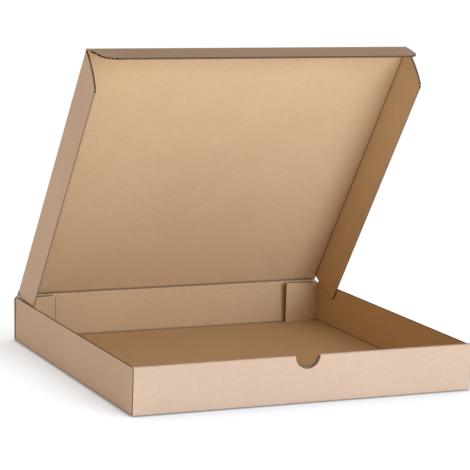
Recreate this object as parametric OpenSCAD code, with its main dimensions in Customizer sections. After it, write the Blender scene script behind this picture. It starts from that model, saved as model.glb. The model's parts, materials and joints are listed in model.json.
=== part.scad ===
// Flat mailer box, folded from one die-cut sheet of fine-flute corrugated board.
// The front is towards -Y, the lid hinges on the rear wall and the base lies on Z = 0.
// The lid stands part open, with its tuck flap part folded.

/* [Box] */
// Width over the outside of the two side walls
box_w = 420; // [300:1:520]
// Depth over the outside of the front and rear walls, at the base
box_d = 400; // [300:1:520]
// Height of the rolled front wall
wall_h = 55; // [40:1:80]

/* [Board] */
// Thickness of the corrugated board
board = 1.6; // [1.2:0.1:2.4]
// Inside radius of every fold
fold_r = 0.4; // [0.2:0.1:0.8]
// Space between layers of board that lie against each other
layer_gap = 0.2; // [0.1:0.05:0.5]
// Space beside the bead of a crease that still bends
crease_gap = 0.3; // [0.2:0.05:0.6]

/* [Front wall] */
// Radius of the half-round thumb notch in the outer layer
notch_r = 15.5; // [8:0.5:20]
// How much smaller the notch is in the inner layer
notch_step = 0.8; // [0:0.1:2]
// Width of each tab that locks the inner layer into the base
lock_w = 42; // [20:1:60]
// Distance of each lock tab from the middle of the box
lock_x = 112; // [60:1:115]
// Space round a lock tab in its slot
lock_gap = 0.3; // [0.2:0.05:0.6]

/* [Corner flaps] */
// Length of a corner flap from the outside of its side wall
corner_l = 50; // [30:1:60]
// How far the top of a corner flap lies under the top of its side wall
corner_drop = 1; // [0.5:0.1:4]
// How much the top of a rear corner flap rises from its fold to its free end
corner_rise = 2.4; // [0:0.1:2.6]
// Radius of the free corners of a corner flap
corner_r = 2.5; // [1:0.5:12]
// Angle by which the rear corner flaps spring off the rear wall
corner_spring = 6; // [0:0.5:8]

/* [Rear wall] */
// Angle by which the rear wall leans back under the open lid
rear_lean = 3.6; // [0:0.1:5]
// Slanted cut at the top corners of the rear wall
rear_cut = 4; // [1:0.5:5]

/* [Lid] */
// Angle of the lid from shut
lid_open = 55.5; // [40:0.5:80]
// Space between the shut lid and the top of the front wall
lid_gap = 0.3; // [0.2:0.05:1]
// Space between the fold of a lid side flap and the side wall
lid_side_gap = 2.1; // [2:0.1:4]
// Outward lean of the lid side flaps
flap_splay = 1.8; // [0:0.1:1.9]
// Space between a lid side flap and the base when the box is shut
flap_floor_gap = 1.1; // [0.5:0.1:6]
// Radius of the curved front end of a lid side flap
flap_nose_r = 104; // [90:1:200]
// Radius of the corner between that curve and the free edge
flap_corner_r = 8; // [2:0.5:14]
// Distance from the rear corner flaps to the rear ends of the lid side flaps when shut
flap_rear_gap = 1; // [0.5:0.1:10]
// Extra length cut from the rear end of a lid side flap at its free edge
flap_rear_cut = 8; // [0:0.5:20]

/* [Tuck flap] */
// Angle of the tuck flap from the plane of the lid
tuck_fold = 64; // [50:1:75]
// Length of the tuck flap from its fold
tuck_l = 44.5; // [25:0.5:48]
// Space between the tuck fold and the inside of the front wall when shut
tuck_gap = 0.8; // [0.5:0.1:2]
// Space between the ends of the tuck flap and the lid side flaps
tuck_end_gap = 0.5; // [0.3:0.1:2]
// How much each end of the tuck flap slants in along its length
tuck_taper = 6.5; // [2:0.5:15]
// Radius of the free corners of the tuck flap
tuck_corner_r = 15; // [4:0.5:18]

/* [Hidden] */
$fn = 96;
kraft = [0.80, 0.67, 0.54];
// Overrun of a cutting shape past the surface that it cuts
past = 1;
bead_r = board / 2;
fold_out = fold_r + board;
half_w = box_w / 2;
half_d = box_d / 2;

// Front wall: two layers with the corner flaps between them
front_wall_t = 3 * board + 2 * layer_gap;
front_in = -half_d + front_wall_t;
inner_half = half_w - board - fold_out;

// Side walls end under the rolled top of the front wall
side_top = wall_h - board - layer_gap;
side_run = half_d - board - layer_gap - fold_out;
corner_foot = board + layer_gap;
corner_h = side_top - corner_drop - corner_foot;
corner_flat = corner_l - fold_out;

// Lid hinge axis, at the top of a rear wall that leans about its own base fold
hinge_z = wall_h + lid_gap + bead_r;
rear_off = fold_out - bead_r;
rear_rise = (hinge_z - fold_out + rear_off * sin(rear_lean)) / cos(rear_lean);
hinge_y = half_d - fold_out + rear_off * cos(rear_lean) + rear_rise * sin(rear_lean);
crease_off = bead_r + crease_gap;

// Lid: measured forwards from the hinge axis, with its tuck fold just inside the front wall
lid_l = to_hundredth(hinge_y - front_in - tuck_gap - bead_r);
lid_front = lid_l - crease_off;
lid_half = half_w - board - lid_side_gap;
lid_flat = lid_half - fold_out;
flap_centre = fold_out - bead_r;
flap_rear = to_hundredth(hinge_y - side_run - fold_r + flap_rear_gap);
shoulder_l = flap_rear - flap_rear_gap;
flap_run = to_hundredth((hinge_z - board - flap_floor_gap - flap_centre) / cos(flap_splay));
tuck_half = lid_half - board - tuck_end_gap;

// Length to the nearest hundredth, the precision that the sheet is cut to
function to_hundredth(length) = round(length * 100) / 100;

// Flat panel between two opposite corners
module panel(low, high) {
    translate(low)
        cube(high - low);
}

// Curved board of a fold along +Z, turning from the X axis towards the Y axis
module fold(length) {
    rotate_extrude(angle = 90)
        translate([fold_r, 0])
            square([board, length]);
}

// Fold along X, centred on X = 0: from is the angle where its board starts,
// 0 under the centre, 90 behind it, 180 above it and 270 in front of it
module cross_fold(half_length, from) {
    translate([-half_length, 0, 0])
        rotate([0, 90, 0])
            rotate([0, 0, from])
                fold(2 * half_length);
}

// Waste outside a round corner, where two edges leave the tip along a and b
module corner_waste(tip, a, b, r) {
    edge_a = a / norm(a);
    edge_b = b / norm(b);
    inward = (edge_a + edge_b) / norm(edge_a + edge_b);
    half_angle = acos(edge_a * edge_b) / 2;
    centre = tip + inward * r / sin(half_angle);
    reach = r / tan(half_angle);
    difference() {
        polygon([tip - inward * past, tip + edge_a * reach, centre, tip + edge_b * reach]);
        translate(centre)
            circle(r);
    }
}

// Corner flap standing on its long edge: it leaves its fold towards -X, and its top may rise
module corner_flap(rise) {
    tip = [corner_flat, corner_h + rise];
    mirror([1, 0, 0])
        rotate([90, 0, 0])
            linear_extrude(board)
                difference() {
                    polygon([[0, 0], [corner_flat, 0], tip, [0, corner_h]]);
                    corner_waste([corner_flat, 0], [-1, 0], [0, 1], corner_r);
                    corner_waste(tip, [-corner_flat, -rise], [0, -1], corner_r);
                }
}

// Side wall at +X with its base fold and its front and rear corner flaps
module side_wall() {
    panel([half_w - board, -side_run, fold_out], [half_w, side_run, side_top]);
    translate([half_w - fold_out, -side_run, fold_out])
        rotate([-90, 0, 0])
            fold(2 * side_run);
    translate([half_w - fold_out, -side_run, corner_foot + fold_r]) {
        rotate([0, 0, -90])
            fold(corner_h - fold_r);
        translate([0, -fold_r, -fold_r])
            corner_flap(0);
    }
    translate([half_w - fold_out, side_run, corner_foot + fold_r])
        difference() {
            rotate([0, 0, corner_spring]) {
                rotate([0, 0, -90])
                    fold(corner_h - fold_r);
                fold(corner_h - fold_r);
                translate([0, fold_out, -fold_r])
                    corner_flap(corner_rise);
            }
            panel([0, -fold_out - past, -past], [fold_out + past, 0, wall_h]);
        }
}

// Base panel with the two slots that take the lock tabs
module base() {
    slot_half = lock_w / 2 + lock_gap;
    difference() {
        panel(
            [-half_w + fold_out, -half_d + fold_out, 0],
            [half_w - fold_out, half_d - fold_out, board]
        );
        for (x = [-lock_x, lock_x])
            panel(
                [x - slot_half, front_in - board - lock_gap, -past],
                [x + slot_half, front_in + lock_gap, board + past]
            );
    }
}

// Half-round cut through the front wall: radius, and the span of depth it goes through
module thumb_cut(r, y_from, y_to) {
    translate([0, y_to, wall_h])
        rotate([90, 0, 0])
            cylinder(r = r, h = y_to - y_from);
}

// Front wall: the outer layer rises, rolls over and comes down inside, with two lock tabs
module front_wall() {
    roll_z = wall_h - fold_out;
    outer_y = -half_d + fold_out;
    inner_y = front_in - fold_out;
    middle_y = (outer_y + inner_y) / 2;
    difference() {
        union() {
            translate([0, outer_y, fold_out])
                cross_fold(half_w, 270);
            panel([-half_w, -half_d, fold_out], [half_w, -half_d + board, roll_z]);
            translate([0, outer_y, roll_z])
                cross_fold(half_w, 180);
            panel([-half_w, outer_y, wall_h - board], [half_w, inner_y, wall_h]);
            translate([0, inner_y, roll_z])
                cross_fold(half_w, 90);
            panel(
                [-inner_half, front_in - board, board + layer_gap],
                [inner_half, front_in, roll_z]
            );
            for (x = [-lock_x, lock_x])
                panel(
                    [x - lock_w / 2, front_in - board, layer_gap],
                    [x + lock_w / 2, front_in, wall_h / 2]
                );
        }
        thumb_cut(notch_r, -half_d - past, middle_y);
        thumb_cut(notch_r - notch_step, middle_y - past, front_in + past);
    }
}

// Rear wall with slanted top corners, leaning back about its base fold
module rear_wall() {
    top = rear_rise - crease_off;
    translate([0, half_d - fold_out, fold_out])
        intersection() {
            rotate([-rear_lean, 0, 0]) {
                cross_fold(half_w, 0);
                translate([0, fold_out, 0])
                    rotate([90, 0, 0])
                        linear_extrude(board)
                            polygon([
                                [-half_w, 0], [half_w, 0], [half_w, top - rear_cut],
                                [half_w - rear_cut, top], [rear_cut - half_w, top],
                                [-half_w, top - rear_cut]
                            ]);
            }
            panel([-half_w - past, 0, -wall_h], [half_w + past, wall_h, 2 * wall_h]);
        }
}

// Tray: base, side walls, rolled front wall and rear wall, one folded sheet
module tray() {
    color(kraft) {
        base();
        front_wall();
        rear_wall();
        for (side = [0, 1])
            mirror([side, 0, 0])
                side_wall();
    }
}

// Outline of a lid side flap: X is the distance from the hinge, Y the depth under its fold
module side_flap_outline() {
    nose = [lid_front - flap_nose_r, 0];
    round_y = flap_run - flap_corner_r;
    round_x = nose.x + sqrt(pow(flap_nose_r - flap_corner_r, 2) - pow(round_y, 2));
    round_c = [round_x, round_y];
    outward = (round_c - nose) / norm(round_c - nose);
    difference() {
        intersection() {
            polygon([
                [flap_rear, 0], [lid_front + past, 0],
                [lid_front + past, flap_run], [flap_rear + flap_rear_cut, flap_run]
            ]);
            union() {
                square([nose.x, flap_run]);
                translate(nose)
                    circle(flap_nose_r, $fn = 360);
            }
        }
        difference() {
            polygon([
                round_c, [round_x, flap_run + past],
                [lid_front, flap_run + past], round_c + outward * (flap_corner_r + past)
            ]);
            translate(round_c)
                circle(flap_corner_r);
        }
    }
}

// Side flap of the lid at +X with its fold, in the frame of the shut lid
module lid_side_flap() {
    translate([lid_flat, -lid_front, -flap_centre])
        intersection() {
            rotate([0, -flap_splay, 0]) {
                rotate([-90, 0, 0])
                    rotate([0, 0, -90])
                        fold(lid_front - flap_rear);
                translate([fold_r, lid_front, 0])
                    rotate([-90, 0, -90])
                        linear_extrude(board)
                            side_flap_outline();
            }
            panel([0, -past, -2 * wall_h], [wall_h, lid_l, wall_h]);
        }
}

// Bead of a crease that still bends: the board's edge rounded about the fold axis
module crease_bead(half_length) {
    rotate([0, 90, 0])
        cylinder(r = bead_r, h = 2 * half_length, center = true);
}

// Moves a shape from the frame of the shut lid to the lid's place
module on_lid() {
    translate([0, hinge_y, hinge_z])
        rotate([-lid_open, 0, 0])
            children();
}

// Lid: top panel with the hinge bead and two shoulders at its rear and a folded flap at each side
module lid() {
    color(kraft)
        on_lid() {
            crease_bead(lid_half);
            panel([-lid_flat, -lid_front, -bead_r], [lid_flat, 0, bead_r]);
            panel([-lid_half, -shoulder_l, -bead_r], [lid_half, 0, bead_r]);
            for (side = [0, 1])
                mirror([side, 0, 0])
                    lid_side_flap();
        }
}

// Tuck flap along the front of the lid, with slanted ends and round free corners
module tuck_flap() {
    tip = [tuck_half - tuck_taper, -tuck_l];
    end_edge = [tuck_taper, tuck_l];
    color(kraft)
        on_lid()
            translate([0, -lid_l, 0])
                rotate([tuck_fold, 0, 0]) {
                    crease_bead(tuck_half);
                    translate([0, 0, -bead_r])
                        linear_extrude(board)
                            difference() {
                                polygon([[-tuck_half, 0], [-tip.x, tip.y], tip, [tuck_half, 0]]);
                                for (side = [0, 1])
                                    mirror([side, 0])
                                        corner_waste(tip, [-1, 0], end_edge, tuck_corner_r);
                            }
                }
}

tray();
lid();
tuck_flap();
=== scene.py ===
import json
import math

import bpy
from mathutils import Matrix, Vector


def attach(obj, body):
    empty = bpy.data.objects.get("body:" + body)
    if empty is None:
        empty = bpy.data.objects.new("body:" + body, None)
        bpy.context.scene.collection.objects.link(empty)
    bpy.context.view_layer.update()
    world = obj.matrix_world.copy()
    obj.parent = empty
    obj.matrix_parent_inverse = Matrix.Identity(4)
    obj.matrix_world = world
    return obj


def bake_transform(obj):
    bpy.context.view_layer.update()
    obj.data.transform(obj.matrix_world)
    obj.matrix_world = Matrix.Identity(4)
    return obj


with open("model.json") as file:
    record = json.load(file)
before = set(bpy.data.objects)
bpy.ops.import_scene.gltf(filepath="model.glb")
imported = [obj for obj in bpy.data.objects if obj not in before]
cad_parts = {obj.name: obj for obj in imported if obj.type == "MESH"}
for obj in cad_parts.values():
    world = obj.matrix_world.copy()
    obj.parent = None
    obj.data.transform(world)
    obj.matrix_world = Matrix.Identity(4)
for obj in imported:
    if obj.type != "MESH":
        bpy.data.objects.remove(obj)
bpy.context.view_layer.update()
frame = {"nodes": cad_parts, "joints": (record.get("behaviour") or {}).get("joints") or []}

bpy.ops.object.select_all(action="DESELECT")

# Camera: it stands low in front of the box and to its left, and is held a little
# out of level, as the upright corners of the box show.
view_turn = math.radians(-24.5288)
view_rise = math.radians(9.7542)
view_roll = math.radians(1.8779)
view_place = Vector((-1.070105, -2.336437, 0.599153))
view_lens = 167.341
view_sensor = 36.0
view_range = 50.0
view_back = Vector((
    math.sin(view_turn) * math.cos(view_rise),
    -math.cos(view_turn) * math.cos(view_rise),
    math.sin(view_rise),
))
level_right = Vector((math.cos(view_turn), math.sin(view_turn), 0.0))
level_up = view_back.cross(level_right)
view_right = level_right * math.cos(view_roll) + level_up * math.sin(view_roll)
view_up = level_up * math.cos(view_roll) - level_right * math.sin(view_roll)
view_axes = Matrix((view_right, view_up, view_back)).transposed().to_4x4()
camera_data = bpy.data.cameras.new("camera")
camera_data.sensor_width = view_sensor
camera_data.lens = view_lens
camera_data.clip_end = view_range
camera = bpy.data.objects.new("camera", camera_data)
bpy.context.scene.collection.objects.link(camera)
camera.matrix_world = Matrix.Translation(view_place) @ view_axes
bpy.context.scene.camera = camera


# Tray: base, side walls, rolled front wall and rear wall, folded up from one sheet
# of fine-flute corrugated board. Its two faces are brown kraft liner, a smooth paper
# with short fibres, and the flutes inside show through as a faint washboard.
board = 0.0016
flute_pitch = 0.0033
half_w = 0.210
half_d = 0.200
wall_h = 0.055
outer_light = (0.622, 0.436, 0.304, 1.0)
outer_dark = (0.598, 0.416, 0.287, 1.0)
# The inner liner is the same paper as the outer: its more golden colour, lower in blue, is painted warm
# bounce light from inside the box
inner_bounce_light = (0.640, 0.434, 0.238, 1.0)
inner_bounce_dark = (0.612, 0.412, 0.222, 1.0)

# Patterns of the paper: scale per metre, detail and roughness of their noise. The fibre
# streaks run along the sheet, and their scale is in their stretch.
cloud_noise = (13.0, 4.0, 0.55)
streak_noise = (1.0, 5.0, 0.7)
grain_noise = (420.0, 3.0, 0.6)
fleck_noise = (260.0, 2.0, 0.5)
rub_noise = (90.0, 4.0, 0.65)
streak_stretch = (85.0, 400.0, 400.0)

# What the patterns do: the range taken from the noise, and the range that it becomes
cloud_range = (0.3, 0.7)
fibre_tones = (0.3, 0.7, 0.92, 1.065)
fleck_tones = (0.68, 0.80, 1.0, 0.88)
rub_range = (0.42, 0.62)
fibre_roughness = (0.2, 0.8, 0.90, 0.62)

# Shares of the patterns in the colour and in the relief. On faces turned to the side by
# more than side_facing, the flutes are counted by height.
streak_share = 0.6
wave_tone = 0.014
rub_tone = 0.16
# Painted shadow: how far the inner liner is darkened along the creases
crease_shadow_tone = -0.5
fibre_height = 0.5
wave_height = 0.16
relief_strength = 0.5
relief_depth = 0.00012
kraft_gloss = 0.25
side_facing = 0.6


def add_node(tree, kind, settings=None, inputs=None):
    """A shader node with its options, and the values or links of its inputs."""
    made = tree.nodes.new(kind)
    for option, value in (settings or {}).items():
        setattr(made, option, value)
    for name, value in (inputs or {}).items():
        if isinstance(value, bpy.types.NodeSocket):
            tree.links.new(value, made.inputs[name])
        else:
            made.inputs[name].default_value = value
    return made


def kraft_liner(name, middle, rubbed, shadowed_creases=(), tilt=0.0, pivot=(0.0, 0.0, 0.0), roll_y=None):
    """Kraft board with an outer and an inner liner. Middle is a point inside the fold of
    the panels, rubbed names the folds worn outside, and the argument after it names the creases
    where a painted shadow darkens the inner liner. Tilt and pivot lay the pattern in a leaning
    panel. In front of roll_y the sheet has rolled over, and its outer liner faces in as well."""
    material = bpy.data.materials.new(name)
    material.use_nodes = True
    tree = material.node_tree
    shader = tree.nodes["Principled BSDF"]

    def calc(operation, a, b=0.0):
        return add_node(tree, "ShaderNodeMath", {"operation": operation}, {0: a, 1: b}).outputs[0]

    def vector(operation, inputs):
        return add_node(tree, "ShaderNodeVectorMath", {"operation": operation}, inputs).outputs

    def ramp(value, low, high, to_low=0.0, to_high=1.0):
        ends = {"Value": value, "From Min": low, "From Max": high, "To Min": to_low, "To Max": to_high}
        return add_node(tree, "ShaderNodeMapRange", inputs=ends).outputs[0]

    def noise(place, scale, detail, rough):
        ends = {"Vector": place, "Scale": scale, "Detail": detail, "Roughness": rough}
        return add_node(tree, "ShaderNodeTexNoise", inputs=ends).outputs[0]

    def mix(share, low, high):
        factor, colour_a, colour_b, colour_out = 0, 6, 7, 2
        ends = {factor: share, colour_a: low, colour_b: high}
        return add_node(tree, "ShaderNodeMix", {"data_type": "RGBA"}, ends).outputs[colour_out]

    def toned(shade, mask, amount):
        return calc("MULTIPLY", shade, calc("ADD", 1.0, calc("MULTIPLY", mask, amount)))

    source = add_node(tree, "ShaderNodeTexCoord").outputs
    shift = Matrix.Rotation(tilt, 4, "X") @ -Vector(pivot)
    flat = add_node(tree, "ShaderNodeMapping", inputs={
        "Vector": source["Object"], "Rotation": (tilt, 0.0, 0.0), "Location": shift,
    }).outputs[0]
    along = add_node(tree, "ShaderNodeSeparateXYZ", inputs={0: flat}).outputs
    facing = add_node(tree, "ShaderNodeSeparateXYZ", inputs={0: source["Normal"]}).outputs
    on_side = calc("GREATER_THAN", calc("ABSOLUTE", facing["X"]), side_facing)
    x_to_z = calc("SUBTRACT", along["Z"], along["X"])
    across = calc("ADD", along["X"], calc("MULTIPLY", on_side, x_to_z))
    wave = calc("SINE", calc("MULTIPLY", across, 2 * math.pi / flute_pitch))

    reach = vector("SUBTRACT", {0: source["Object"], 1: middle})[0]
    inward = vector("DOT_PRODUCT", {0: reach, 1: source["Normal"]})["Value"]
    inside = calc("LESS_THAN", inward, 0.0)
    if roll_y is not None:
        inside = calc("MULTIPLY", inside, calc("GREATER_THAN", along["Y"], roll_y))

    stretched = add_node(tree, "ShaderNodeMapping", inputs={"Vector": flat, "Scale": streak_stretch})
    streak = noise(stretched.outputs[0], *streak_noise)
    grain = noise(flat, *grain_noise)
    fleck = noise(flat, *fleck_noise)
    fibre = calc("ADD", calc("MULTIPLY", streak, streak_share), calc("MULTIPLY", grain, 1 - streak_share))

    cloud = ramp(noise(flat, *cloud_noise), *cloud_range)
    outer = mix(cloud, outer_dark, outer_light)
    inner = mix(cloud, inner_bounce_dark, inner_bounce_light)
    paper = mix(inside, outer, inner)

    def near_folds(folds):
        nearest = 0.0
        for fold in folds:
            near = []
            for axis, both, low, high in fold:
                place = calc("ABSOLUTE", along[axis]) if both else along[axis]
                near.append(ramp(place, low, high))
            nearest = calc("MAXIMUM", calc("MULTIPLY", *near), nearest)
        return nearest

    shade = calc("MULTIPLY", ramp(fibre, *fibre_tones), ramp(fleck, *fleck_tones))
    shade = toned(shade, wave, wave_tone)
    worn = calc("MULTIPLY", near_folds(rubbed), ramp(noise(flat, *rub_noise), *rub_range))
    shade = toned(shade, worn, rub_tone)
    # Painted shade: the inner liner is darkened along the creases, where shadow falls in the fold
    if shadowed_creases:
        crease_shadow = calc("MULTIPLY", near_folds(shadowed_creases), inside)
        shade = toned(shade, crease_shadow, crease_shadow_tone)
    colour = vector("SCALE", {0: paper, "Scale": shade})[0]
    tree.links.new(colour, shader.inputs["Base Color"])
    tree.links.new(ramp(fibre, *fibre_roughness), shader.inputs["Roughness"])
    shader.inputs["Specular IOR Level"].default_value = kraft_gloss
    height = calc("ADD", calc("MULTIPLY", fibre, fibre_height), calc("MULTIPLY", wave, wave_height))
    relief = {"Strength": relief_strength, "Distance": relief_depth, "Height": height}
    bump = add_node(tree, "ShaderNodeBump", inputs=relief).outputs[0]
    tree.links.new(bump, shader.inputs["Normal"])
    return material


# Folds of the tray: an axis, whether they lie on both sides of it, and the places
# between which their mark grows from nothing to full
rub_width = 0.0025
base_fold = ("Z", False, 0.003, 0.0)
roll_fold = ("Z", False, wall_h - rub_width, wall_h)
side_fold = ("X", True, half_w - rub_width, half_w)
front_fold = ("Y", True, half_d - rub_width, half_d)
tray_rubs = [
    (base_fold, side_fold),
    (base_fold, front_fold),
    (side_fold, front_fold),
    (roll_fold, front_fold),
]
# Painted shadow in the inside corners where the base meets the side walls and the rear wall
base_crease = ("Z", False, 0.004, board)
side_crease = ("X", True, 0.2066, 0.2082)
rear_crease = ("Y", False, 0.1945, 0.1965)
tray_crease_shadows = [(base_crease, side_crease), (base_crease, rear_crease)]
tray_middle = (0.0, 0.0, 0.030)
tray_roll_y = -0.1935
tray = frame["nodes"]["tray"]
tray_kraft = kraft_liner("tray_kraft", tray_middle, tray_rubs, tray_crease_shadows, roll_y=tray_roll_y)
tray.material_slots[0].material = tray_kraft

# Cut edges of the tray: where the die cut the sheet, the two liners show as thin dark lines with the
# wavy medium between them, both partly painted shade, and behind them a near-black sheet is painted
# shadow for the hollow flutes.
# Along the flutes the same edge is a plain brown slot between the liners.
lip = 0.0005
core_lip = lip * 0.6
medium_lip = lip * 0.9
liner = 0.00016
medium_thick = liner * 0.7
medium_low = -liner / 3
flute_cells = 5
hollow_cells = 3
wave_steps = 4
wave_crest = 1
wave_trough = 3
arc_step = math.radians(5)
fuzz_scale = 900.0
fuzz_detail = 4.0
fuzz_range = (0.3, 0.7)
fuzz_strength = 0.6
fuzz_depth = 0.0001
cut_roughness = 0.95
cut_gloss = 0.1


def cut_paper(name, colour, mottle):
    """Paper of a cut edge, with a mottled colour. The colour is the raw fibre, darkened with painted
    shade for the liners and medium, and wholly painted shadow for the hollow flutes.
    """
    material = bpy.data.materials.new(name)
    material.use_nodes = True
    tree = material.node_tree
    shader = tree.nodes["Principled BSDF"]
    place = add_node(tree, "ShaderNodeTexCoord").outputs["Object"]
    fuzz = add_node(tree, "ShaderNodeTexNoise", inputs={
        "Vector": place, "Scale": fuzz_scale, "Detail": fuzz_detail,
    }).outputs[0]
    shade = add_node(tree, "ShaderNodeMapRange", inputs={
        "Value": fuzz, "From Min": fuzz_range[0], "From Max": fuzz_range[1],
        "To Min": 1 - mottle, "To Max": 1 + mottle,
    }).outputs[0]
    tint = add_node(tree, "ShaderNodeVectorMath", {"operation": "SCALE"}, {0: colour, "Scale": shade})
    tree.links.new(tint.outputs[0], shader.inputs["Base Color"])
    bump = add_node(tree, "ShaderNodeBump", inputs={
        "Strength": fuzz_strength, "Distance": fuzz_depth, "Height": fuzz,
    })
    tree.links.new(bump.outputs[0], shader.inputs["Normal"])
    shader.inputs["Roughness"].default_value = cut_roughness
    shader.inputs["Specular IOR Level"].default_value = cut_gloss
    return material


# Liner and medium colours are raw fibre with painted shade of the narrow cut; the near-black hollow is
# painted shadow in the open flutes; pressed and smooth are the paper's own tan
cut_liner_fibre_and_shade = cut_paper("cut_liner_fibre_and_shade", colour=(0.085, 0.050, 0.028), mottle=0.25)
cut_medium_fibre_and_shade = cut_paper("cut_medium_fibre_and_shade", colour=(0.10, 0.060, 0.034), mottle=0.3)
cut_hollow_shadow = cut_paper("cut_hollow_shadow", colour=(0.004, 0.0025, 0.0015), mottle=0.3)
cut_pressed = cut_paper("cut_pressed", colour=(0.38, 0.25, 0.15), mottle=0.2)
cut_smooth = cut_paper("cut_smooth", colour=(0.58, 0.41, 0.28), mottle=0.12)


def frame_at(middle, along, outward):
    """Matrix of a frame at middle, with its X along one way and its Y outward."""
    x, y = Vector(along).normalized(), Vector(outward).normalized()
    axes = Matrix((x, y, x.cross(y))).transposed().to_4x4()
    return Matrix.Translation(Vector(middle)) @ axes


def paper_strip(length, columns, depth, z_low, material):
    """A flat strip of paper along X at height z_low, that stands out along Y by its depth."""
    bpy.ops.object.select_all(action="DESELECT")
    bpy.ops.mesh.primitive_grid_add(x_subdivisions=columns, y_subdivisions=1, size=1.0)
    strip = bpy.context.object
    bpy.ops.object.mode_set(mode="EDIT")
    bpy.ops.transform.resize(value=(length, depth, 1.0), center_override=(0.0, 0.0, 0.0))
    bpy.ops.transform.translate(value=(0.0, depth / 2, z_low))
    bpy.ops.object.mode_set(mode="OBJECT")
    strip.data.materials.append(material)
    return strip


def thicken(strip, thickness):
    """Thickens a strip upwards from where it lies."""
    solid = strip.modifiers.new("thickness", "SOLIDIFY")
    solid.thickness = thickness
    solid.offset = 1.0
    bpy.context.view_layer.objects.active = strip
    bpy.ops.object.modifier_apply(modifier=solid.name)


def bend_round(piece, turn, part=(0.0, 1.0)):
    """Bends a strip by turn, over a part of its length."""
    bend = piece.modifiers.new("bend", "SIMPLE_DEFORM")
    bend.deform_method = "BEND"
    bend.deform_axis = "Z"
    bend.angle = turn
    bend.limits = part
    bpy.ops.object.modifier_apply(modifier=bend.name)


def lay(piece, place):
    """Lays a piece at its place, which goes into its mesh."""
    piece.matrix_world = place
    bpy.ops.object.transform_apply(location=True, rotation=True, scale=True)


def joined(pieces, name=None):
    """Joins pieces into one object, and names it."""
    bpy.ops.object.select_all(action="DESELECT")
    for piece in pieces:
        piece.select_set(True)
    bpy.context.view_layer.objects.active = pieces[0]
    bpy.ops.object.join()
    whole = bpy.context.object
    if name:
        whole.name = whole.data.name = name
    return whole


def wavy_medium(length, pitch, room):
    """The fluted paper in a cut edge, which swings from one liner to the other."""
    steps = wave_steps * max(1, round(length / pitch))
    medium = paper_strip(length, steps, medium_lip, medium_low, cut_medium_fibre_and_shade)
    for phase, swing in ((wave_crest, room / 2), (wave_trough, -room / 2)):
        bpy.ops.object.mode_set(mode="EDIT")
        bpy.ops.mesh.select_all(action="DESELECT")
        bpy.ops.object.mode_set(mode="OBJECT")
        for vertex in medium.data.vertices:
            vertex.select = round((vertex.co.x / length + 0.5) * steps) % wave_steps == phase
        bpy.ops.object.mode_set(mode="EDIT")
        bpy.ops.transform.translate(value=(0.0, 0.0, swing))
        bpy.ops.object.mode_set(mode="OBJECT")
    smooth = medium.modifiers.new("round_flutes", "SUBSURF")
    smooth.levels = smooth.render_levels = 1
    bpy.context.view_layer.objects.active = medium
    bpy.ops.object.modifier_apply(modifier=smooth.name)
    return medium


def cut_edge(length, place, pitch=None, turn=0.0, sealed=False, thick=board):
    """Cut edge of the board: liners, medium and core, bent by turn and laid at place. Pitch is
    the spacing of the flutes along the cut, or None where the cut follows them. The die presses
    part of each flute shut and leaves the rest hollow, or shuts all of it when sealed. Thick is
    the thickness at the cut, with the burr that the die leaves."""
    columns = max(1, round(abs(turn) / arc_step))
    cells = flute_cells * max(1, round(length / pitch)) if pitch else columns
    room = thick - 2 * liner
    hollow = pitch and not sealed
    # Hollow cells of the core get a near-black sheet, painted shadow for the depth of the open flutes
    if hollow:
        core_paper = cut_hollow_shadow
    elif sealed:
        core_paper = cut_smooth
    else:
        core_paper = cut_pressed
    core = paper_strip(length, cells, core_lip, -room / 2, core_paper)
    if hollow:
        core.data.materials.append(cut_pressed)
        for face in core.data.polygons:
            cell = int((face.center.x / length + 0.5) * cells)
            face.material_index = int(cell % flute_cells >= hollow_cells)
    upper = paper_strip(length, columns, lip, thick / 2 - liner, cut_liner_fibre_and_shade)
    lower = paper_strip(length, columns, lip, -thick / 2, cut_liner_fibre_and_shade)
    layers = [(upper, liner), (lower, liner), (core, room)]
    if hollow:
        layers.append((wavy_medium(length, pitch, room), medium_thick))
    for strip, thickness in layers:
        thicken(strip, thickness)
    whole = joined([strip for strip, thickness in layers])
    if turn:
        bend_round(whole, turn)
    lay(whole, place)
    return whole


# Edges of the walls and of the rear corner flaps, from the sizes of the folds
fold_r = 0.0004
fold_out = fold_r + board
fold_mid = fold_r + board / 2
layer_gap = 0.0002
upright = Vector((0.0, 0.0, 1.0))
rearward = Vector((0.0, 1.0, 0.0))
side_top = wall_h - board - layer_gap
side_run = half_d - board - layer_gap - fold_out
rail_front = -0.1942
rail_rear = 0.1954
roll_start = wall_h - fold_out
rear_lean = math.radians(3.6)
wall_up = Vector((0.0, math.sin(rear_lean), math.cos(rear_lean)))
wall_out = Vector((0.0, math.cos(rear_lean), -math.sin(rear_lean)))
rear_foot = Vector((0.0, half_d - fold_out, fold_out)) + wall_out * fold_mid
rear_top = 0.05318
rear_cut = 0.004
slant_l = 0.0055
slant_pitch = flute_pitch * math.sqrt(2)
corner_spring = math.radians(6.0)
corner_flat = 0.048
corner_rise = 0.0024
corner_end_l = 0.0475
corner_end_z = 0.0282
corner_top_l = 0.0435
corner_top_z = 0.0522
corner_top_share = 0.49
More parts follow.
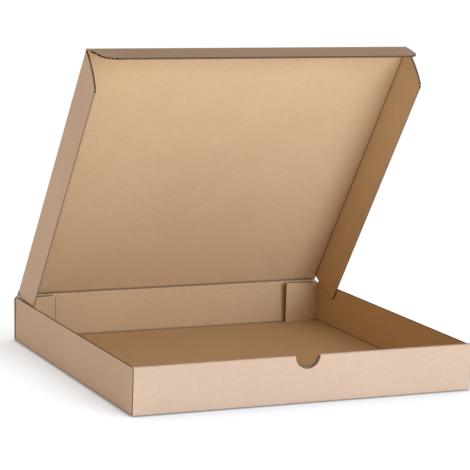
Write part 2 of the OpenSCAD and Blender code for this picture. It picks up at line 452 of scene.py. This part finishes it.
for side, tag in ((-1, "left"), (1, "right")):
    outward = Vector((side, 0.0, 0.0))
    rail_mid = Vector((side * (half_w - board / 2), (rail_front + rail_rear) / 2, side_top))
    front_mid = Vector((side * half_w, -half_d + board / 2, wall_h / 2))
    rear_mid = rear_foot + outward * half_w + wall_up * (rear_top - rear_cut) / 2
    slant_mid = rear_foot + outward * (half_w - rear_cut / 2) + wall_up * (rear_top - rear_cut / 2)
    flap_dir = Vector((-side * math.cos(corner_spring), -math.sin(corner_spring), 0.0))
    flap_in = Vector((-side * math.sin(corner_spring), math.cos(corner_spring), 0.0))
    flap_root = Vector((side * (half_w - fold_out), side_run, 0.0)) + flap_in * fold_mid
    flap_slope = flap_dir * corner_flat + upright * corner_rise
    flap_lift = upright - flap_dir * (corner_rise / corner_flat)
    end_mid = flap_root + flap_dir * corner_flat + upright * corner_end_z
    top_mid = flap_root + flap_slope * corner_top_share + upright * corner_top_z
    pieces = [
        cut_edge(rail_rear - rail_front, frame_at(rail_mid, rearward, upright)),
        cut_edge(roll_start - fold_out, frame_at(front_mid, upright, outward)),
        cut_edge(rear_top - rear_cut, frame_at(rear_mid, wall_up, outward)),
        cut_edge(slant_l, frame_at(slant_mid, wall_up - outward, wall_up + outward), slant_pitch),
        cut_edge(corner_end_l, frame_at(end_mid, upright, flap_dir), flute_pitch),
        cut_edge(corner_top_l, frame_at(top_mid, flap_slope, flap_lift)),
    ]
    edge = joined(pieces, "tray_cut_edge_" + tag)
    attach(edge, "tray")

# Thumb notch: a half-round cut through both layers of the rolled front wall, a little
# smaller in the inner layer. The die has pressed the flutes shut all along it.
notch_r = 0.0155
notch_step = 0.0008
notch_pitch = 0.004
front_in = -half_d + 3 * board + 2 * layer_gap
outer_layer = -half_d + board / 2
inner_layer = front_in - board / 2
pieces = []
for radius, y in ((notch_r, outer_layer), (notch_r - notch_step, inner_layer)):
    sweep = math.pi - 2 * math.asin((wall_h - roll_start) / radius)
    place = frame_at((0.0, y, wall_h - radius), (1, 0, 0), (0, 0, 1))
    pieces.append(cut_edge(radius * sweep, place, notch_pitch, sweep, sealed=True))
notch_edge = joined(pieces, "notch_cut_edge")
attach(notch_edge, "tray")

# Lid: a single panel of the same sheet that turns on its crease with the rear wall,
# with a side flap folded down along each side. It stands half open over the tray.
lid_open = math.radians(55.5)
lid_joint = next(joint for joint in frame["joints"] if joint["name"] == "lid_hinge")
hinge = Vector(lid_joint["pos_m"])
lid_place = Matrix.Translation(hinge) @ Matrix.Rotation(-lid_open, 4, "X")
lid_half = 0.2063
lid_side_fold = ("X", True, 0.2035, lid_half)
lid_top_fold = ("Z", False, -0.002, board / 2)
# Painted shadow inside the folds from the lid to its side flaps, and by the hinge
lid_side_crease = ("X", True, 0.2031, 0.2046)
lid_under_crease = ("Z", False, -0.0036, -0.0013)
lid_hinge_crease = ("Y", False, -0.0042, -0.0014)
lid_rubs = [(lid_side_fold, lid_top_fold)]
lid_crease_shadows = [(lid_side_crease, lid_under_crease), (lid_hinge_crease, lid_under_crease)]
lid_middle = lid_place @ Vector((0.0, -0.2, -0.025))
lid = frame["nodes"]["lid"]
lid_kraft = kraft_liner("lid_kraft", lid_middle, lid_rubs, lid_crease_shadows, lid_open, hinge)
lid.material_slots[0].material = lid_kraft

# Cut edges of the lid's side flaps: the curved front end cuts across the flutes and
# shows their open ends, with the burr of the die, and the long free edge follows them.
burr_thick = 0.0020
lid_front = 0.39471
lid_flat = lid_half - fold_out
flap_splay = math.radians(1.8)
flap_run = 0.05223
flap_nose_r = 0.104
flap_corner_r = 0.008
flap_rear = 0.00701
flap_rear_cut = 0.008
nose_x = lid_front - flap_nose_r
round_y = flap_run - flap_corner_r
round_x = nose_x + math.sqrt((flap_nose_r - flap_corner_r) ** 2 - round_y ** 2)
nose_start = 0.006
nose_stop = math.atan2(round_y, round_x - nose_x)
round_pitch = 0.0048
flap_arcs = (
    (Vector((nose_x, 0.0, 0.0)), flap_nose_r, nose_start, nose_stop, flute_pitch),
    (Vector((round_x, round_y, 0.0)), flap_corner_r, nose_stop, math.pi / 2, round_pitch),
)
free_from = flap_rear + flap_rear_cut
free_mid = ((free_from + round_x) / 2, flap_run, 0.0)
heel_l = 0.048
heel_share = 0.53
heel_mid = (flap_rear + flap_rear_cut * heel_share, flap_run * heel_share, 0.0)
heel_along = (flap_rear_cut, flap_run, 0.0)
heel_out = (-flap_run, flap_rear_cut, 0.0)
for side, tag in ((-1, "left"), (1, "right")):
    flap_down = Vector((side * math.sin(flap_splay), 0.0, -math.cos(flap_splay)))
    flap_out = Vector((side * math.cos(flap_splay), 0.0, math.sin(flap_splay)))
    flap_zero = Vector((side * lid_flat, 0.0, -fold_mid)) + flap_out * fold_mid
    flap_place = lid_place @ frame_at(flap_zero, -rearward, flap_down)
    pieces = []
    for centre, radius, start, stop, pitch in flap_arcs:
        mid = (start + stop) / 2
        out = Vector((math.cos(mid), math.sin(mid), 0.0))
        place = flap_place @ frame_at(centre + out * radius, (-out.y, out.x, 0.0), out)
        pieces.append(cut_edge(radius * (stop - start), place, pitch, start - stop, thick=burr_thick))
    free_place = flap_place @ frame_at(free_mid, (1, 0, 0), (0, 1, 0))
    pieces.append(cut_edge(round_x - free_from, free_place))
    heel_place = flap_place @ frame_at(heel_mid, heel_along, heel_out)
    pieces.append(cut_edge(heel_l, heel_place, flute_pitch))
    edge = joined(pieces, "lid_cut_edge_" + tag)
    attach(edge, "lid")

# Hinge crease: the outer liner runs on round the fold from the rear wall to the lid,
# and it is what holds the lid when the board under it is scored and bent.
crease_paper = 0.00012
crease_r = 0.00085
crease_tab = 0.0015
crease_half = 0.2060
crease_columns = 24
crease_middle = (0.0, 0.0, 0.1)
crease_kraft = kraft_liner("crease_kraft", crease_middle, lid_rubs)


def crease_liner(name, axis, before, after):
    """Liner paper round the outside of a crease, lapped onto both panels. Before and after
    are the outward ways of the two panels."""
    out = (before + after).normalized()
    way = (after - before).normalized()
    turn = before.angle(after)
    length = crease_r * turn + 2 * crease_tab
    lap = crease_tab / length
    paper = paper_strip(length, crease_columns, crease_paper, -crease_half, crease_kraft)
    thicken(paper, 2 * crease_half)
    bend_round(paper, -turn, (lap, 1 - lap))
    top = axis + out * crease_r
    lay(paper, frame_at(top, way, out))
    paper.name = paper.data.name = name
    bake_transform(paper)


lid_out = lid_place.to_3x3() @ upright
crease_liner("hinge_crease", hinge, wall_out, lid_out)

# Tuck flap: the front strip of the lid, folded on a crease so that it can slide down
# inside the front wall. Its free corners are rounded and its ends slant in.
lid_l = 0.39581
tuck_fold = math.radians(64.0)
tuck_turn = Matrix.Rotation(tuck_fold, 4, "X")
tuck_place = lid_place @ Matrix.Translation((0.0, -lid_l, 0.0)) @ tuck_turn
tuck_axis = tuck_place.translation
tuck_tilt = lid_open - tuck_fold
tuck_end_rub = ("X", True, 0.17, 0.2)
tuck_rubs = [(tuck_end_rub, tuck_end_rub)]
tuck_middle = tuck_place @ Vector((0.0, -0.02, -0.05))
tuck_flap = frame["nodes"]["tuck_flap"]
tuck_kraft = kraft_liner("tuck_kraft", tuck_middle, tuck_rubs, tilt=tuck_tilt, pivot=tuck_axis)
tuck_flap.material_slots[0].material = tuck_kraft

# Cut edge of the tuck flap: its long free edge cuts straight across the flutes, the
# slanted ends cut them at a shallow angle, and the round corners lie between.
tuck_l = 0.0445
tuck_half = 0.2042
tuck_taper = 0.0065
tuck_corner_r = 0.015
tuck_corner_pitch = 0.0045
tuck_end_pitch = 0.0135
tuck_end_stop = 0.006
tuck_in = Vector((-1.0, 0.0, 0.0))
tip = Vector((tuck_half - tuck_taper, -tuck_l, 0.0))
end_way = Vector((tuck_taper, tuck_l, 0.0)).normalized()
end_out = Vector((end_way.y, -end_way.x, 0.0))
half_angle = tuck_in.angle(end_way) / 2
bisector = (tuck_in + end_way).normalized()
corner_mid = tip + bisector * (tuck_corner_r / math.sin(half_angle) - tuck_corner_r)
corner_along = Vector((bisector.y, -bisector.x, 0.0))
corner_sweep = math.pi - 2 * half_angle
corner_arc = tuck_corner_r * corner_sweep
end_from = tuck_corner_r / math.tan(half_angle)
end_to = math.hypot(tuck_taper, tuck_l) - tuck_end_stop
end_mid = tip + end_way * (end_from + end_to) / 2
free_l = 2 * (tip.x - end_from)
free_place = tuck_place @ frame_at((0.0, -tuck_l, 0.0), (1, 0, 0), (0, -1, 0))
pieces = [cut_edge(free_l, free_place, flute_pitch, thick=burr_thick)]
for side in (-1, 1):
    flip = Vector((side, 1.0, 1.0))
    end_place = tuck_place @ frame_at(end_mid * flip, end_way * flip, end_out * flip)
    pieces.append(cut_edge(end_to - end_from, end_place, tuck_end_pitch, thick=burr_thick))
    corner_place = tuck_place @ frame_at(corner_mid * flip, corner_along * flip, -bisector * flip)
    pieces.append(cut_edge(corner_arc, corner_place, tuck_corner_pitch, -corner_sweep, thick=burr_thick))
edge = joined(pieces, "tuck_cut_edge")
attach(edge, "tuck_flap")

# Tuck crease: the outer liner stretched round the fold between the lid and the tuck flap,
# the same paper as at the hinge and lapped in the same way.
tuck_out = tuck_place.to_3x3() @ upright
crease_liner("tuck_crease", tuck_axis, lid_out, tuck_out)

# Floor and light: a plain white sweep that glows with its own bounce, with a painted shadow where
# that glow is dimmed near the box and most in the seam under its walls, a broad soft light from the
# right of the camera, and an even pale surround.
floor_size = 30.0
floor_drop = 0.0004
floor_tone = (0.62, 0.66, 0.70, 1.0)
floor_roughness = 0.9
glow_tone = (0.93, 0.965, 1.0, 1.0)
surround_tone = (1.0, 0.87, 0.73, 1.0)
surround_strength = 0.38

# Painted shadow near the box, by dimming the glow: how far off its walls count, the range of openness,
# and that of the glow
nook_reach = 0.16
nook_shadow_range = (0.0, 1.0, 0.03, 0.83)
seam_reach = 0.006
seam_shadow_range = (0.5, 1.0, 0.2, 1.0)
bpy.ops.object.select_all(action="DESELECT")
bpy.ops.mesh.primitive_plane_add(size=floor_size, location=(0.0, 0.0, -floor_drop))
floor = bpy.context.object
floor.name = "floor"
floor_white = bpy.data.materials.new("floor_white")
floor_white.use_nodes = True
floor_tree = floor_white.node_tree
floor_shader = floor_tree.nodes["Principled BSDF"]
floor_shader.inputs["Base Color"].default_value = floor_tone
floor_shader.inputs["Roughness"].default_value = floor_roughness
floor_shader.inputs["Emission Color"].default_value = glow_tone


def floor_shade(reach, low, high, to_low, to_high):
    """Strength of the floor's glow, by how much of its surroundings is open within reach, which paints a
    shadow round the box.
    """
    nook = add_node(floor_tree, "ShaderNodeAmbientOcclusion", inputs={"Distance": reach})
    return add_node(floor_tree, "ShaderNodeMapRange", inputs={
        "Value": nook.outputs["AO"], "From Min": low, "From Max": high,
        "To Min": to_low, "To Max": to_high,
    }).outputs[0]


# Painted contact shadow: the glow falls near the box and in the seam under its walls
shadowed_floor_glow = add_node(floor_tree, "ShaderNodeMath", {"operation": "MULTIPLY"}, {
    0: floor_shade(nook_reach, *nook_shadow_range),
    1: floor_shade(seam_reach, *seam_shadow_range),
})
floor_tree.links.new(shadowed_floor_glow.outputs[0], floor_shader.inputs["Emission Strength"])
floor.data.materials.append(floor_white)
surround = bpy.data.worlds.new("surround")
surround.use_nodes = True
surround_light = surround.node_tree.nodes["Background"]
surround_light.inputs["Color"].default_value = surround_tone
surround_light.inputs["Strength"].default_value = surround_strength
bpy.context.scene.world = surround
light_aim = Vector((0.0, 0.0, 0.12))
light_size = 1.6


def soft_light(name, place, power, colour):
    """A square soft light that faces the box."""
    lamp = bpy.data.lights.new(name, "AREA")
    lamp.size = light_size
    lamp.energy = power
    lamp.color = colour
    holder = bpy.data.objects.new(name, lamp)
    bpy.context.scene.collection.objects.link(holder)
    holder.location = place
    holder.rotation_euler = (light_aim - Vector(place)).to_track_quat("-Z", "Y").to_euler()


soft_light("key_light", place=(0.9, -2.8, 0.65), power=77.0, colour=(0.66, 0.79, 1.0))
soft_light("fill_light", place=(-2.6, 0.3, 1.2), power=4.0, colour=(1.0, 0.55, 0.28))
bpy.context.scene.view_settings.view_transform = "Standard"
